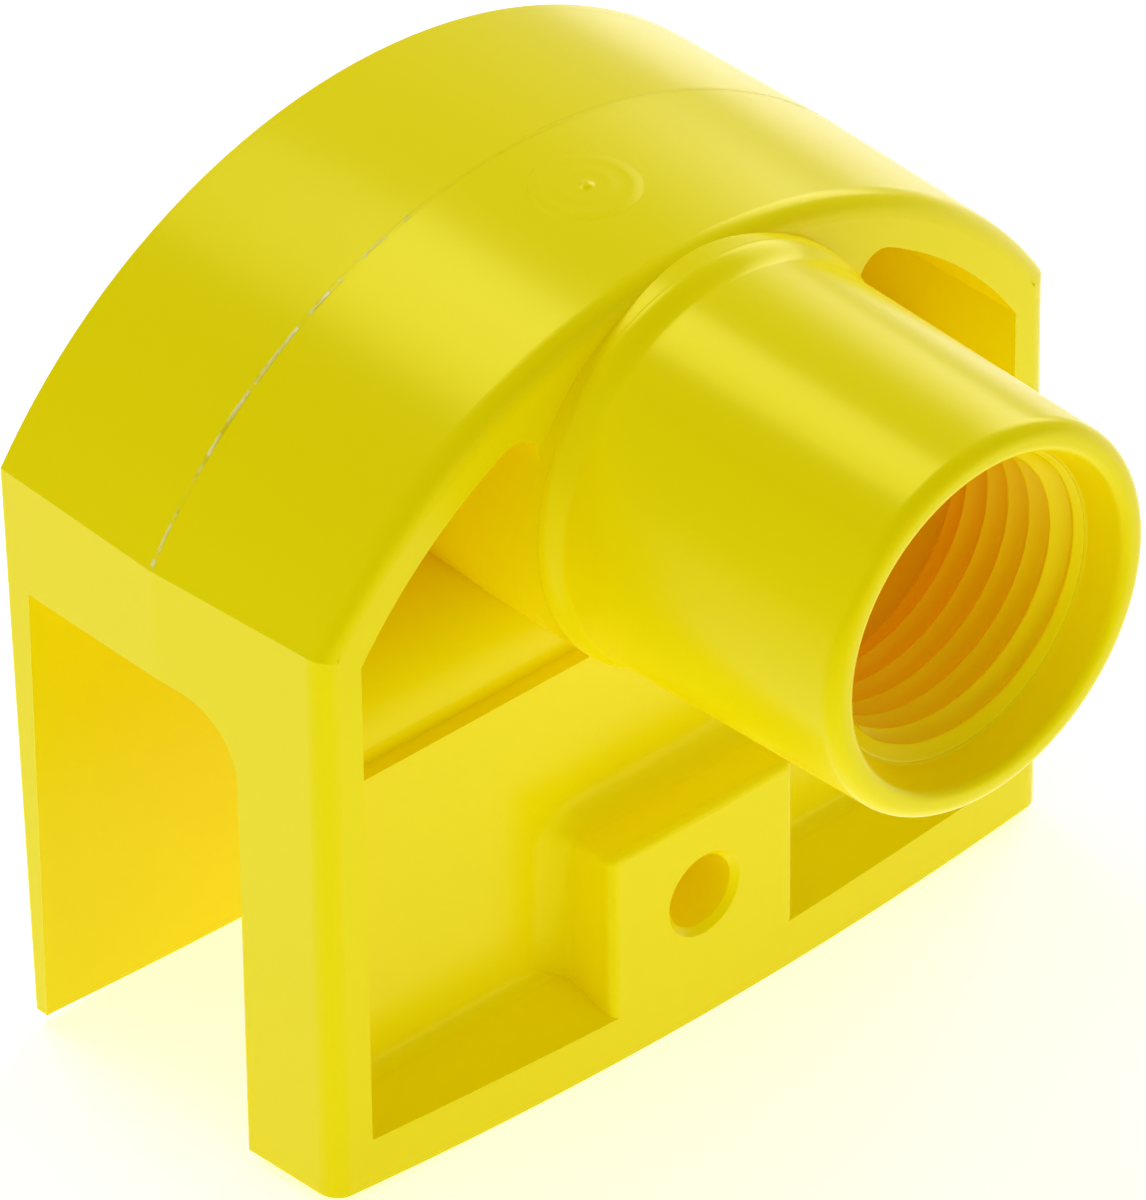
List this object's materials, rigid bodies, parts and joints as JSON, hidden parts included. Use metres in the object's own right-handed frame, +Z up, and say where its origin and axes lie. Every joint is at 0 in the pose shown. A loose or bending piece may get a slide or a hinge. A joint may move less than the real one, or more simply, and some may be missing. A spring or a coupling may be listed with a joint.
{
  "type": "fence insulator",
  "caption": "Saddle insulator for the edge of a board, with an arched hollow crown and a threaded socket out of its front.",
  "frame": {"origin": "on the seat that rests on the board's edge, at mid-length of the saddle", "axes": "+X along the board, -Y out of the socket's mouth, +Z up out of the board's edge"},
  "size_m": [0.0628, 0.0553, 0.0592],
  "materials": {
    "moulding": "gloss"
  },
  "bodies": {
    "root": {"rear_wall": "moulding", "crown_rear": "moulding", "crown_front": "moulding", "slot_roof": "moulding", "socket_core": "moulding", "socket_collar": "moulding", "socket_barrel": "moulding", "thread_band": "moulding", "left_post": "moulding", "right_post": "moulding", "front_panel": "moulding", "bottom_rail": "moulding", "screw_boss": "moulding"}
  },
  "joints": []
}
